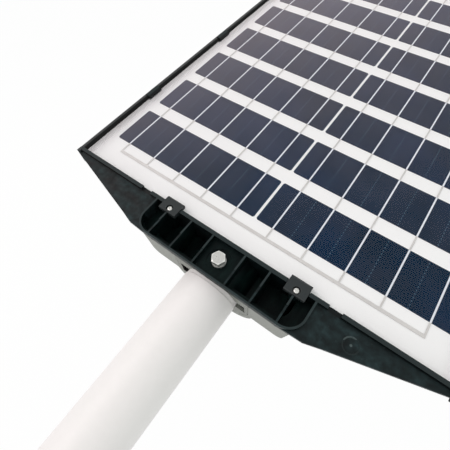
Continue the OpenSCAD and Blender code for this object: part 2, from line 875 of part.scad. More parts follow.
module led_chips() {
    top = spreader_z - board_t;
    color("khaki") engine_sides() led_spots()
        box(-chip_w / 2, chip_w / 2, -chip_w / 2, chip_w / 2, top - chip_h, top);
}

module lens_plate(side) {
    dome_z = plate_z + plate_t / 2;
    color("white", 0.5) translate([side * plate_x, engine_y, 0]) difference() {
        union() {
            box(-plate_w / 2, plate_w / 2, -plate_l / 2, plate_l / 2, plate_z, plate_z + plate_t);
            led_spots() translate([0, 0, dome_z]) intersection() {
                sphere(r = dome_r);
                box(-dome_r, dome_r, -dome_r, dome_r, -dome_r, 0);
            }
        }
        lens_screw_spots() post(0, 0, plate_z - eps, plate_z + plate_t + eps, lens_screw_r + 0.3);
    }
}

module lens_plate_left() {
    lens_plate(-1);
}

module lens_plate_right() {
    lens_plate(1);
}

module lens_gasket(side) {
    color("#404040") translate([side * plate_x, engine_y, 0]) difference() {
        box(eps - plate_w / 2, plate_w / 2 - eps, eps - plate_l / 2, plate_l / 2 - eps,
            body_z - lens_gasket_t, body_z);
        box(-window_w / 2, window_w / 2, -window_l / 2, window_l / 2, body_z - 2 * eps, body_z + eps);
        lens_screw_spots() post(0, 0, body_z - 2 * eps, body_z + eps, lens_screw_r + 0.3);
    }
}

module lens_gasket_left() {
    lens_gasket(-1);
}

module lens_gasket_right() {
    lens_gasket(1);
}

module lens_screws() {
    color("silver") engine_sides() lens_screw_spots() {
        post(0, 0, plate_z - 1.8, plate_z, 2.4);
        post(0, 0, plate_z - eps, body_in_z + 3, lens_screw_r);
    }
}

// Battery
module battery_spots() {
    for (k = [0:batt_rows - 1])
        translate([0, batt_y0 + cradle_wall + (k + 0.5) * batt_pitch, batt_z]) children();
}

module battery_cradle() {
    color("#2b2b2b") difference() {
        box(-cradle_hw, cradle_hw, batt_y0, batt_y0 + cradle_l, body_in_z, body_in_z + cradle_h);
        battery_spots() rotate([0, 90, 0])
            cylinder(r = batt_r + gap, h = 2 * (batt_l + 2), center = true);
    }
}

module battery_cells() {
    color("#3a78b5") battery_spots() both_sides() rotate([0, 90, 0]) {
        translate([0, 0, 1]) cylinder(r = batt_r, h = batt_l - 0.5);
        translate([0, 0, batt_l]) cylinder(r = 6, h = 1);
    }
}

module battery_links() {
    x = batt_l + 1;
    color("silver") both_sides() for (k = [0:2:batt_rows - 2]) {
        y = batt_y0 + cradle_wall + (k + 0.5) * batt_pitch;
        box(x, x + link_t, y - link_w / 2, y + batt_pitch + link_w / 2,
            batt_z - link_w / 2, batt_z + link_w / 2);
    }
}

// Controller
ctrl_y = engine_y - plate_l / 4;
ctrl_hw = 45;
ctrl_l = 60;
ctrl_z = spreader_z + spreader_t + post_h;

module controller_posts() {
    color("silver") for (y = [-1, 1]) both_sides()
        post(ctrl_hw - 5, ctrl_y + y * (ctrl_l / 2 - 5), spreader_z + spreader_t, ctrl_z, 3);
}

module controller_board() {
    color("darkgreen")
        box(-ctrl_hw, ctrl_hw, ctrl_y - ctrl_l / 2, ctrl_y + ctrl_l / 2, ctrl_z, ctrl_z + board_t);
}

// Plug block, choke, two capacitors and a driver chip, spread over the board by its own size.
ctrl_w = 2 * ctrl_hw;
plug_h = 10;
choke_h = 7;
cap_h = 12;
cap_r = 5;
driver_h = 4;

module board_block(x0, x1, y0, y1, h) {
    z = ctrl_z + board_t;
    box(x0 * ctrl_w, x1 * ctrl_w, ctrl_y + y0 * ctrl_l, ctrl_y + y1 * ctrl_l, z, z + h);
}

module controller_parts() {
    z = ctrl_z + board_t;
    color("#303030") {
        board_block(-0.42, -0.16, 0.2, 0.4, plug_h);
        board_block(-0.09, 0.09, -0.13, 0.13, choke_h);
        board_block(-0.42, -0.22, -0.37, -0.13, driver_h);
        for (x = [0.24, 0.38]) post(x * ctrl_w, ctrl_y + ctrl_l / 4, z, z + cap_h, cap_r);
    }
}

// Sensor, indicator and button
module sensor_board() {
    color("darkgreen")
        box(-strip_hw, strip_hw, strip_y - strip_w / 2, strip_y + strip_w / 2, strip_z, strip_z + strip_t);
}

module sensor_element() {
    color("silver") {
        post(0, strip_y, strip_z - 6, strip_z, 4.2);
        post(0, strip_y, strip_z - 1, strip_z, 5);
    }
}

module sensor_dome() {
    wall = 1.2;
    rim = body_z - 1.5;
    cap_r = sensor_r * 1.25;
    drop = sqrt(cap_r * cap_r - sensor_r * sensor_r);
    color("ghostwhite") difference() {
        union() {
            post(0, strip_y, rim, body_in_z + wall, sensor_r);
            post(0, strip_y, body_in_z, body_in_z + wall, sensor_r + 2.5);
            intersection() {
                translate([0, strip_y, rim + drop]) sphere(r = cap_r);
                post(0, strip_y, rim - cap_r, rim + eps, sensor_r);
            }
        }
        post(0, strip_y, rim, body_in_z + wall + eps, sensor_r - wall);
        intersection() {
            translate([0, strip_y, rim + drop]) sphere(r = cap_r - wall);
            post(0, strip_y, rim - cap_r, rim + eps, sensor_r - wall);
        }
    }
}

module indicator_pin() {
    color("white", 0.7) {
        post(-button_x, strip_y, body_z - 0.8, strip_z, pin_r);
        post(-button_x, strip_y, body_in_z, body_in_z + 1.5, pin_r + 1.8);
    }
}

button_rest_z = body_in_z + 0.1;
button_top_z = button_rest_z + button_flange_t;
switch_hole_z = strip_z - 1;

module power_button() {
    color("#a02020") {
        post(button_x, strip_y, body_z - button_out + 0.6, button_top_z, button_r);
        translate([button_x, strip_y, body_z - button_out])
            cylinder(r1 = button_r - 0.6, r2 = button_r, h = 0.6);
        post(button_x, strip_y, button_rest_z, button_top_z, button_flange_r);
    }
}

module switch_plunger() {
    color("black") post(button_x, strip_y, button_top_z, switch_hole_z - button_travel - 0.5, plunger_r);
}

module switch_body() {
    color("#202020") difference() {
        box(button_x - switch_w / 2, button_x + switch_w / 2, strip_y - switch_w / 2, strip_y + switch_w / 2,
            strip_z - switch_h, strip_z);
        post(button_x, strip_y, strip_z - switch_h - eps, switch_hole_z, plunger_r + gap);
    }
}

arm_tube();
upper_tray();
solar_glass();
solar_cells();
cell_ribbons();
back_sheet();
panel_seal();
junction_box();
rear_clip_left();
rear_clip_right();
rear_clip_screws();
clamp_bolt();
clamp_spring_washer();
clamp_flat_washer();
clamp_nut();
pole_socket();
socket_screws();
lower_casing();
casing_gasket();
casing_screws();
heat_spreader();
led_board_left();
led_board_right();
led_chips();
lens_plate_left();
lens_plate_right();
lens_gasket_left();
lens_gasket_right();
lens_screws();
battery_cradle();
battery_cells();
battery_links();
controller_board();
controller_parts();
controller_posts();
sensor_board();
sensor_element();
sensor_dome();
indicator_pin();
power_button();
switch_plunger();
switch_body();
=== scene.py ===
"""Dresses a solar street lamp, from its white arm to its light engine, and sets its studio."""

import json
import math

import bpy
from bpy.props import FloatProperty, FloatVectorProperty, IntProperty, PointerProperty
from mathutils import Matrix, Vector

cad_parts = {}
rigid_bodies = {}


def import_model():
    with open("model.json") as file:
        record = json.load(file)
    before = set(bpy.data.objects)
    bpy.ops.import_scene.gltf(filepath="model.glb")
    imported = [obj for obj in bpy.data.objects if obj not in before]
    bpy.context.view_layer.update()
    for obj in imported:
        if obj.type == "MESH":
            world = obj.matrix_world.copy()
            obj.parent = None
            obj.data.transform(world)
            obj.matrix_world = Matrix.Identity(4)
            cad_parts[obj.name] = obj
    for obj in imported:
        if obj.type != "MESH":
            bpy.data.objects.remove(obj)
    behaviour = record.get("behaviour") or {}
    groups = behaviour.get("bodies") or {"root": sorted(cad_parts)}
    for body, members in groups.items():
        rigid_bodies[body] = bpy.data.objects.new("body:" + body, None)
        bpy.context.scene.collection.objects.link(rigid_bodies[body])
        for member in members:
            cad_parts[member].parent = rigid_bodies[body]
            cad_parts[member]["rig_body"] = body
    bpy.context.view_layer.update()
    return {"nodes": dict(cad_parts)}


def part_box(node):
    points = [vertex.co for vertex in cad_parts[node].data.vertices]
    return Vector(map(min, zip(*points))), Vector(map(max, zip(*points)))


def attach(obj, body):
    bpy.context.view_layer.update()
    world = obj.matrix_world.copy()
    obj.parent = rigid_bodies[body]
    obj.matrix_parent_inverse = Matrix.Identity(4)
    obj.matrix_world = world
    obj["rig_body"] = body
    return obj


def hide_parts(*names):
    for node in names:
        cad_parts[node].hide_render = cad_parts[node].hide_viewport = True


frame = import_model()

bl_info = {
    "name": "Street lamp looks",
    "version": (1, 0, 0),
    "blender": (4, 5, 0),
    "location": "3D View > Sidebar > Street lamp",
    "description": "Dresses the packed solar street lamp and sets its studio",
    "category": "Object",
}

MM = 0.001

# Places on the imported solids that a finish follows.
CELL_LENGTH = 43.3 * MM
CELL_PITCH = 57.4 * MM
CELL_GAP = 3.35 * MM
GLASS_BORDER = 11 * MM
ARM_BORE = 23 * MM
ARM_TURNED = 24 * MM
ARM_SOCKETED = 346 * MM
ARM_CUT = 0.3 * MM
LIP_Y = 366 * MM
RAIL_Y = 371 * MM
TRAY_TOP = 30 * MM
RIM_TOP = 33.5 * MM
POCKET_LOW = Vector((-73.2, 339.5, -100)) * MM
POCKET_HIGH = Vector((73.2, 366.4, 32.8)) * MM
SLOT_LOW = Vector((-34, 340.4, -9)) * MM
SLOT_HIGH = Vector((-22, 356, 9)) * MM
MOULD_MARK = (106.0 * MM, 355.0 * MM)

BOARD_TRACK = (0.03, 0.2, 0.09)
FLOOR_RADIUS = 6.0

# Soft lamps: place, size, share of the key power, colour, seen in gloss.
LAMPS = (
    ((-1.6, -0.1, 1.9), 1.6, 1.05, (1.0, 0.885, 0.89), True),
    ((-2.0, -1.4, 0.4), 1.2, 0.2, (1.0, 0.92, 0.92), False),
)
LAMP_AIM = Vector((0, 0.45, 0))

# Camera of the photograph: its axes, place and lens shift.
CAMERA_RIGHT = Vector((0.807938, 0.588201, -0.035436))
CAMERA_UP = Vector((-0.501889, 0.718400, 0.481673))
CAMERA_BACK = Vector((0.308777, -0.371377, 0.875635))
CAMERA_PLACE = Vector((0.07181, 0.289671, 0.250267))
CAMERA_SHIFT = (-0.02511, 0.00622)


def colour(name, description, default):
    """A colour that a user may change."""
    return FloatVectorProperty(
        name=name, description=description, default=default, subtype="COLOR", size=3, min=0, max=1
    )


def length(name, description, default):
    """A length in metres, given here in millimetres."""
    return FloatProperty(
        name=name, description=description, default=default * MM, unit="LENGTH", min=0, precision=5
    )


class LampColours(bpy.types.PropertyGroup):
    """Colours of the lamp's finishes."""

    arm: colour("Arm", "Powder coat of the arm", (0.82, 0.772, 0.778))
    tray: colour("Tray", "Moulded plastic of the tray", (0.0042, 0.0088, 0.0096))
    # The tray edge colour is partly wear and partly a painted highlight on the rounded edges.
    tray_edge: colour("Tray edge", "Rubbed edges of the tray", (0.03, 0.034, 0.036))
    clip: colour("Clip", "Moulded plastic of the rear clips", (0.016, 0.02, 0.021))
    cell: colour("Cell", "Face of the solar cells", (0.001, 0.0085, 0.024))
    finger: colour("Finger", "Printed silver lines on the cells", (0.055, 0.1, 0.14))
    ribbon: colour("Ribbon", "Tinned ribbons between the cells", (0.59, 0.59, 0.615))
    sheet: colour("Back sheet", "White sheet behind the cells", (0.865, 0.852, 0.862))
    steel: colour("Steel", "Plated bolts and screws", (0.52, 0.52, 0.5))
    casing: colour("Casing", "Painted casting of the light head", (0.24, 0.245, 0.222))
    lens: colour("Lens", "Clear plastic of the lens plates", (0.86, 0.89, 0.9))
    phosphor: colour("Phosphor", "Yellow face of the light chips", (0.75, 0.56, 0.09))
    battery: colour("Battery", "Sleeve of the battery cells", (0.03, 0.16, 0.42))
    board: colour("Board", "Solder mask of the circuit boards", (0.012, 0.11, 0.045))


class LampDetails(bpy.types.PropertyGroup):
    """Sizes of the details that the finishes carry."""

    tray_edge: length("Tray edge", "Rounding of the tray's edges", 0.35)
    clip_edge: length("Clip edge", "Rounding of the clips' edges", 0.5)
    casing_edge: length("Casing edge", "Rounding of the casing's edges", 0.5)
    steel_edge: length("Steel edge", "Rounding of the bolt and washers", 0.4)
    cell_corner: length("Cell corner", "Cut corner of a cell strip", 1.2)
    cell_reach: length("Cell reach", "Reach of the cells to the middle, past the solids", 0.5)
    finger_pitch: length("Finger pitch", "Distance between printed lines on a cell", 1.55)
    recess: length("Screw recess", "Width of the cross recess in a screw", 0.55)
    busbars: IntProperty(name="Busbars", description="Ribbons across each cell", default=5, min=1)


class LampStudio(bpy.types.PropertyGroup):
    """Light and camera of the studio."""

    world: FloatProperty(name="World", description="Strength of the even light", default=0.9, min=0)
    key: FloatProperty(
        name="Key light", description="Power of the soft lamp", default=18, unit="POWER", min=0
    )
    floor_drop: length("Floor drop", "Floor below the arm's axis", 1200)
    lens: FloatProperty(
        name="Lens", description="Focal length in millimetres", default=25.554, min=1, precision=3
    )


class Value:
    """A shader socket that takes part in sums."""

    def __init__(self, finish, socket):
        self.finish = finish
        self.socket = socket

    def sum_of(self, operation, first, second=0.0):
        return self.finish.add("ShaderNodeMath", {"operation": operation}, {0: first, 1: second})

    def __add__(self, other):
        return self.sum_of("ADD", self, other)

    def __sub__(self, other):
        return self.sum_of("SUBTRACT", self, other)

    def __rsub__(self, other):
        return self.sum_of("SUBTRACT", other, self)

    def __mul__(self, other):
        return self.sum_of("MULTIPLY", self, other)

    def __truediv__(self, other):
        return self.sum_of("DIVIDE", self, other)

    def __rtruediv__(self, other):
        return self.sum_of("DIVIDE", other, self)

    def __mod__(self, other):
        return self.sum_of("FLOORED_MODULO", self, other)

    def __pow__(self, other):
        return self.sum_of("POWER", self, other)

    def __lt__(self, other):
        return self.sum_of("LESS_THAN", self, other)

    def __gt__(self, other):
        return self.sum_of("GREATER_THAN", self, other)

    def __abs__(self):
        return self.sum_of("ABSOLUTE", self)

    def least(self, other):
        return self.sum_of("MINIMUM", self, other)

    __radd__ = __add__
    __rmul__ = __mul__


class Finish:
    """A procedural material on Object coordinates, in metres."""

    def __init__(self, name, world=None):
        self.material = world or bpy.data.materials.new(name)
        self.material.use_nodes = True
        self.nodes = self.material.node_tree.nodes
        self.links = self.material.node_tree.links
        self.nodes.clear()
        self.ending = "ShaderNodeOutputWorld" if world else "ShaderNodeOutputMaterial"
        self.place = self.add("ShaderNodeTexCoord", out="Object")

    def add(self, kind, settings=None, sockets=None, out=0):
        """Adds a node, sets it up, fills its sockets and returns one output."""
        node = self.nodes.new(kind)
        for key, value in (settings or {}).items():
            setattr(node, key, value)
        for key, value in (sockets or {}).items():
            if isinstance(value, Value):
                self.links.new(value.socket, node.inputs[key])
            elif node.inputs[key].type == "RGBA":
                node.inputs[key].default_value = (*value, 1.0)
            else:
                node.inputs[key].default_value = value
        return Value(self, node.outputs[out])

    def axes(self):
        """X, Y and Z of the surface point."""
        split = self.add("ShaderNodeSeparateXYZ", {}, {0: self.place}, out="X").socket.node
        return [Value(self, split.outputs[k]) for k in range(3)]

    def stretched(self, x, y, z):
        """Object coordinates scaled along each axis."""
        return self.add(
            "ShaderNodeVectorMath", {"operation": "MULTIPLY"}, {0: self.place, 1: (x, y, z)}
        )

    def noise(self, size, detail=3.0, place=None):
        """Soft noise whose spots are about that size in metres."""
        sockets = {"Vector": place or self.place, "Scale": 1 / size, "Detail": detail}
        return self.add("ShaderNodeTexNoise", {}, sockets)

    def between(self, value, low, high):
        """Spreads a noise, whose middle part counts, from low to high."""
        sockets = {"Value": value, "From Min": 0.3, "From Max": 0.7, "To Min": low, "To Max": high}
        return self.add("ShaderNodeMapRange", {"clamp": True}, sockets)

    def patches(self, size, detail=3.0, place=None):
        """Soft patches from 0 to 1, about that size in metres."""
        return self.between(self.noise(size, detail, place), 0.0, 1.0)

    def mix(self, share, first, second):
        """Blends two colours."""
        sockets = {0: share, 6: first, 7: second}
        return self.add("ShaderNodeMix", {"data_type": "RGBA"}, sockets, out=2)

    def bump(self, height, depth, strength):
        """A bump of that depth in metres."""
        sockets = {"Height": height, "Distance": depth, "Strength": strength}
        return self.add("ShaderNodeBump", {}, sockets)

    def looked_at(self):
        """1 where the camera, metal or glass looks, and 0 for light that falls on the object."""
        path = self.add("ShaderNodeLightPath").socket.node
        rays = ("Is Camera Ray", "Is Glossy Ray", "Is Transmission Ray")
        camera, gloss, glass = (Value(self, path.outputs[ray]) for ray in rays)
        return (camera + gloss + glass).least(1.0)

    def close(self, shader):
        """Ends the tree with a shader."""
        self.links.new(shader.socket, self.nodes.new(self.ending).inputs["Surface"])

    def done(self, sockets):
        """Closes the material with one surface shader."""
        self.close(self.add("ShaderNodeBsdfPrincipled", {}, sockets))
        return self.material


def scaled(tint, factor, lift=0.0):
    """A colour made darker or paler."""
    return tuple(min(1.0, factor * part + lift) for part in tint)


def powder_coat(looks):
    """White powder coat with orange peel, and drawn steel in the bore, the socket and the cut."""
    finish = Finish("arm_powder_coat")
    x, y, z = finish.axes()
    radius = (x * x + z * z) ** 0.5
    ends = (radius < ARM_TURNED) * ((y > ARM_SOCKETED) + (y < ARM_CUT))
    bare = ((radius < ARM_BORE) + ends).least(1.0)
    cloud = finish.patches(90 * MM)
    dust = finish.patches(6 * MM, 5.0)
    paint = finish.mix(cloud * 0.4, looks.arm, (0.79, 0.795, 0.77))
    paint = finish.mix(dust * 0.05, paint, (0.5, 0.49, 0.47))
    drawn = finish.noise(1.2 * MM, 2.0, finish.stretched(1, 0.02, 1))
    steel = finish.mix(drawn, (0.3, 0.31, 0.31), (0.52, 0.52, 0.51))
    peel = finish.bump(finish.noise(1.6 * MM, 2.0), 0.05 * MM, 0.35)
    return finish.done(
        {
            "Base Color": finish.mix(bare, paint, steel),
            "Metallic": bare * 0.85,
            "Roughness": finish.between(finish.noise(14 * MM), 0.36, 0.46),
            "Normal": peel,
            "Specular IOR Level": 0.4,
        }
    )


def tray_wear_and_painted_light(finish, tint, pale, mark, shade, roughness):
    """Adds the tray's smears, scuffs and mould mark, and painted light: painted sheen on the left
    side, painted shade on the rails and right of the lip, a pale painted highlight on the tops, and
    a painted crescent highlight at the mould mark.
    """
    x, y, z = finish.axes()
    side, ahead = x - mark[0], y - mark[1]
    across = (side * side + ahead * ahead) ** 0.5
    ring_radius = 5.4 * MM
    on_top = z > TRAY_TOP
    painted_sheen_tone = tuple(part + more for part, more in zip(tint, (0.022, 0.01, 0.01)))
    # Painted sheen: the tray's left side is made paler and warmer, as if lit from the left.
    shade = finish.mix((x * -5).least(0.6), shade, painted_sheen_tone)
    smear = finish.patches(16 * MM, 3.0, finish.stretched(1, 2, 1))
    shade = finish.mix(smear * (y < LIP_Y) * 0.8, shade, scaled(tint, 4.2, 0.003))
    # Painted shade: the tray is darkened beyond RAIL_Y, along its rails.
    shade = finish.mix((y > RAIL_Y) * 0.7, shade, scaled(tint, 0.4))
    scuff = finish.patches(5 * MM, 5.0)
    shade = finish.mix(scuff * 0.85, shade, scaled(tint, 0.35))
    # Painted shade: beyond the lip the tray darkens toward the right, away from the light on the
    # left.
    shade = finish.mix((x * 5).least(0.65) * (y > LIP_Y), shade, scaled(tint, 0.3))
    # Mould mark: a real centre dot and faint circle, with a painted crescent highlight on one side
    # of the circle.
    dot = across < 0.9 * MM
    crescent_highlight = (ahead - side * 0.7) > 4.4 * MM
    circle_mark_and_highlight = (abs(across - ring_radius) < 0.5 * MM) * (crescent_highlight * 0.75 + scuff * 0.2)
    shade = finish.mix((dot + circle_mark_and_highlight) * on_top * 0.6, shade, (0.1, 0.13, 0.13))
    # Painted highlight: the tops above RIM_TOP, such as the rim and rail crests, are made pale.
    shade = finish.mix((z > RIM_TOP) * 0.5, shade, pale)
    return shade, roughness - smear * 0.08 - (across < ring_radius) * on_top * 0.1


def moulded_black(name, tint, grain, rough, gloss, mark=None, streaks=0.0):
    """Black plastic with dust and flow marks, and the tray's wear and painted light where a mould
    mark is given.
    """
    finish = Finish(name)
    fine = finish.noise(grain, 2.0)
    flow = finish.patches(60 * MM, 2.0, finish.stretched(1, 3, 1))
    dots = {"Vector": finish.place, "Scale": 1 / (7 * MM)}
    speck = finish.add("ShaderNodeTexVoronoi", {"feature": "F1"}, dots) < 0.075
    # A pale tone for the specks, and in the tray's wear also for the painted highlight on the tops.
    pale = scaled(tint, 2.6, 0.02)
    shade = finish.mix(flow * 0.3, tint, scaled(tint, 1.9))
    if streaks:
        streak = finish.patches(7 * MM, 4.0, finish.stretched(1, 0.4, 1))
        shade = finish.mix(streak * streak * streaks, shade, (0.01, 0.024, 0.022))
    shade = finish.mix(speck * 0.6, shade, pale)
    roughness = finish.between(fine, rough - 0.07, rough + 0.07) + flow * 0.06
    normal = finish.bump(fine, 0.06 * MM, 0.5)
    if mark:
        shade, roughness = tray_wear_and_painted_light(finish, tint, pale, mark, shade, roughness)
    return finish.done(
        {
            "Base Color": shade,
            "Roughness": roughness,
            "Normal": normal,
            "Specular IOR Level": gloss,
        }
    )


def worn_and_highlit_edge(name, tint):
    """Plastic worn smoother along an edge, paler partly from wear and partly as a painted
    highlight.
    """
    finish = Finish(name)
    worn = finish.patches(5 * MM, 4.0)
    return finish.done(
        {
            "Base Color": finish.mix(worn, scaled(tint, 0.55), tint),
            "Roughness": finish.between(finish.noise(2 * MM), 0.28, 0.42),
            "Specular IOR Level": 0.35,
        }
    )


def cell_face(looks, details):
    """Blue cell with a mottled coating and printed fingers, broken between the busbars."""
    finish = Finish("cell_blue_coating")
    x, y = finish.axes()[:2]
    low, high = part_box("solar_cells")
    width = (high.x - low.x - CELL_GAP) / 2
    pitch = details.finger_pitch
    finger = 1 - (abs((y / pitch) % 1.0 - 0.5) / 0.3).least(1.0)
    along = ((abs(x) - CELL_GAP / 2) / (width / details.busbars)) % 1.0
    near_break = along.least(1 - along) < 0.011
    dash = ((y / (2 * pitch)) % 1.0) < 0.45
    mottle = finish.patches(38 * MM, 3.0)
    fleck = finish.patches(3 * MM, 4.0)
    base = finish.mix(mottle, looks.cell, scaled(looks.cell, 1.55))
    bluer = finish.patches(75 * MM, 2.0)
    base = finish.mix(bluer * bluer * 0.5, base, (0.001, 0.014, 0.055))
    base = finish.mix(fleck * 0.15, base, scaled(looks.cell, 0.5))
    base = finish.mix(finger * 0.4, base, looks.finger)
    base = finish.mix(near_break * dash * 0.4, base, scaled(looks.finger, 2.2))
    return finish.done(
        {
            "Base Color": base,
            "Roughness": finish.between(finish.noise(20 * MM), 0.3, 0.42),
            "Metallic": finger * 0.2,
            "Specular IOR Level": 0.0,
        }
    )


def tinned_ribbon(looks):
    """Dull tin over copper, with solder waves, and a painted reflection, bluish white, where it is
    soldered flat to a cell.
    """
    finish = Finish("ribbon_tin")
    y = finish.axes()[1]
    low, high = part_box("solar_cells")
    on_cell = (((y - low.y) % CELL_PITCH) < CELL_LENGTH) * (y > low.y) * (y < high.y)
    wave = finish.patches(9 * MM, 4.0)
    patch = finish.patches(70 * MM)
    tone = finish.mix(wave * 0.75, looks.ribbon, scaled(looks.ribbon, 0.72))
    tone = finish.mix(patch * 0.3, tone, (0.86, 0.85, 0.83))
    tone = finish.mix(0.5 - on_cell * 0.5, tone, (0.6, 0.565, 0.525))
    # Painted reflection: bluish white on the ribbon where it lies on a cell.
    tone = finish.mix(on_cell * 0.65, tone, (0.76, 0.8, 0.88))
    return finish.done(
        {
            "Base Color": tone,
            "Metallic": 0.35,
            "Roughness": finish.between(wave, 0.32, 0.5),
            "Normal": finish.bump(wave, 0.03 * MM, 0.4),
        }
    )


def white_sheet(looks):
    """Laminated white sheet with a faint pressed texture."""
    finish = Finish("sheet_white_laminate")
    press = finish.noise(1.4 * MM, 2.0)
    cloud = finish.patches(120 * MM)
    tone = finish.mix(cloud * 0.5, looks.sheet, scaled(looks.sheet, 0.965))
    return finish.done(
        {
            "Base Color": tone,
            "Roughness": finish.between(press, 0.5, 0.62),
            "Normal": finish.bump(press, 0.02 * MM, 0.3),
            "Specular IOR Level": 0.2,
        }
    )


def clear_glass():
    """Pane that adds the sky's reflection, with a painted reflection stronger to the left and a
    painted pale glow along two edges.
    """
    finish = Finish("panel_glass_clear")
    x, y, z = finish.axes()
    slant = finish.add("ShaderNodeLayerWeight", {}, {"Blend": 0.5}, out="Facing")
    # Painted reflection: the sky's reflection is made stronger toward the left.
    left_painted_reflection = (0.98 - x * 4.7).least(1.7)
    shine = slant**1.5 * left_painted_reflection * 0.25 + slant**8 * 0.65
    dust = finish.patches(30 * MM, 6.0)
    low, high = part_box("solar_glass")
    # Painted light: a pale glow along the two long edges lightens the rails' shade on the sheet
    # below.
    edge_painted_glow = 1 - ((high.x - abs(x)) / GLASS_BORDER).least(1.0)
    # The reflection's tint: pink over most of the pane as a painted reflection colour, white in the
    # edge glow.
    haze_and_painted_light = finish.mix(edge_painted_glow, (1.0, 0.85, 0.9), (0.97, 0.965, 0.965))
    near = 0.2 * MM
    rim = (abs(x) > high.x - near) + (y < low.y + near) + (y > high.y - near)
    cut = rim.least(1.0)
    face = z > high.z - 0.05 * MM
    return finish.done(
        {
            "Base Color": finish.mix(cut, haze_and_painted_light, (0.5, 0.64, 0.58)),
            "Metallic": 1 - cut,
            "Roughness": dust * 0.05 + 0.03,
            "Alpha": face * (shine + dust * 0.012 + edge_painted_glow * 0.42) + cut * 0.12,
        }
    )


def plated_steel(name, tint, rough=0.3, metal=0.9):
    """Bright zinc plating with a faint grain and small dull spots."""
    finish = Finish(name)
    grain = finish.noise(0.5 * MM, 3.0)
    dull = finish.patches(4 * MM, 4.0)
    return finish.done(
        {
            "Base Color": finish.mix(dull * 0.4, tint, scaled(tint, 0.7)),
            "Metallic": metal,
            "Roughness": finish.between(grain, rough - 0.06, rough + 0.06) + dull * 0.1,
            "Normal": finish.bump(grain, 0.01 * MM, 0.3),
        }
    )


def painted_casting(name, tint, rough):
    """Grey paint over a casting: a soft pebble, cloudy tone and dirt in soft patches."""
    finish = Finish(name)
    pebble = finish.noise(0.9 * MM, 2.0)
    cloud = finish.patches(70 * MM)
    dirt = finish.patches(11 * MM, 6.0)
    tone = finish.mix(cloud * 0.6, tint, scaled(tint, 0.92))
    tone = finish.mix(dirt * dirt * 0.12, tone, scaled(tint, 0.45))
    return finish.done(
        {
            "Base Color": tone,
            "Roughness": finish.between(pebble, rough - 0.06, rough + 0.06),
            "Normal": finish.bump(pebble, 0.08 * MM, 0.45),
            "Specular IOR Level": 0.35,
        }
    )


def clear_lens(looks):
    """Clear moulded plastic, faintly milky, brighter at a slant."""
    finish = Finish("lens_clear_plastic")
    slant = finish.add("ShaderNodeLayerWeight", {}, {"Blend": 0.35}, out="Facing")
    haze_and_painted_light = finish.patches(8 * MM, 3.0)
    return finish.done(
        {
            "Base Color": finish.mix(haze_and_painted_light * 0.4, looks.lens, scaled(looks.lens, 0.88)),
            "Roughness": finish.between(haze_and_painted_light, 0.06, 0.12),
            "Alpha": slant * 0.5 + 0.12,
            "Specular IOR Level": 0.6,
        }
    )


def frosted_dome(name, tint, rings):
    """Milky plastic dome with the fine steps of its lens."""
    finish = Finish(name)
    step = (finish.axes()[2] / rings) % 1.0
    milk = finish.patches(5 * MM)
    return finish.done(
        {
            "Base Color": finish.mix(milk * 0.5, tint, scaled(tint, 0.93)),
            "Roughness": finish.between(milk, 0.28, 0.4),
            "Normal": finish.bump(step, 0.05 * MM, 0.4),
        }
    )


def soft_rubber(name, tint, talc_share=0.15, gloss=0.5):
    """Matt rubber with talc in its pores."""
    finish = Finish(name)
    pore = finish.noise(0.6 * MM, 4.0)
    talc = finish.patches(9 * MM, 5.0)
    return finish.done(
        {
            "Base Color": finish.mix(talc * talc_share, tint, (0.25, 0.25, 0.25)),
            "Roughness": finish.between(pore, 0.62, 0.78),
            "Normal": finish.bump(pore, 0.04 * MM, 0.5),
            "Specular IOR Level": gloss,
        }
    )


def circuit_board(name, tint, track):
    """Solder mask over copper tracks."""
    finish = Finish(name)
    across = abs((finish.axes()[0] / (3.2 * MM)) % 1.0 - 0.5) < 0.2
    patch = finish.noise(18 * MM, 1.0) > 0.5
    return finish.done(
        {
            "Base Color": finish.mix(across * patch * 0.6, tint, track),
            "Roughness": finish.between(finish.noise(6 * MM), 0.25, 0.38),
            "Normal": finish.bump(across * patch, 0.03 * MM, 0.5),
        }
    )


def brushed_sheet(name, tint):
    """Sheet aluminium rolled along Y."""
    finish = Finish(name)
    roll = finish.noise(0.8 * MM, 3.0, finish.stretched(1, 0.03, 1))
    return finish.done(
        {
            "Base Color": finish.mix(roll, scaled(tint, 0.8), tint),
            "Metallic": 0.9,
            "Roughness": finish.between(roll, 0.3, 0.5),
        }
    )


def light_chip(looks):
    """Grainy yellow phosphor."""
    finish = Finish("led_yellow_phosphor")
    grain = finish.patches(0.5 * MM, 3.0)
    return finish.done(
        {
            "Base Color": finish.mix(grain * 0.5, looks.phosphor, (0.82, 0.68, 0.2)),
            "Roughness": finish.between(grain, 0.45, 0.6),
        }
    )


def shrink_sleeve(looks):
    """Shiny shrink sleeve with creases along the cell."""
    finish = Finish("battery_blue_sleeve")
    crease = finish.noise(3 * MM, 3.0, finish.stretched(0.1, 1, 1))
    return finish.done(
        {
            "Base Color": finish.mix(crease * 0.4, looks.battery, scaled(looks.battery, 0.6)),
            "Roughness": finish.between(crease, 0.22, 0.36),
            "Normal": finish.bump(crease, 0.1 * MM, 0.3),
        }
    )


def only(*pieces):
    """Leaves just these objects selected, the first one active."""
    bpy.ops.object.select_all(action="DESELECT")
    for piece in pieces:
        piece.select_set(True)
    bpy.context.view_layer.objects.active = pieces[0]


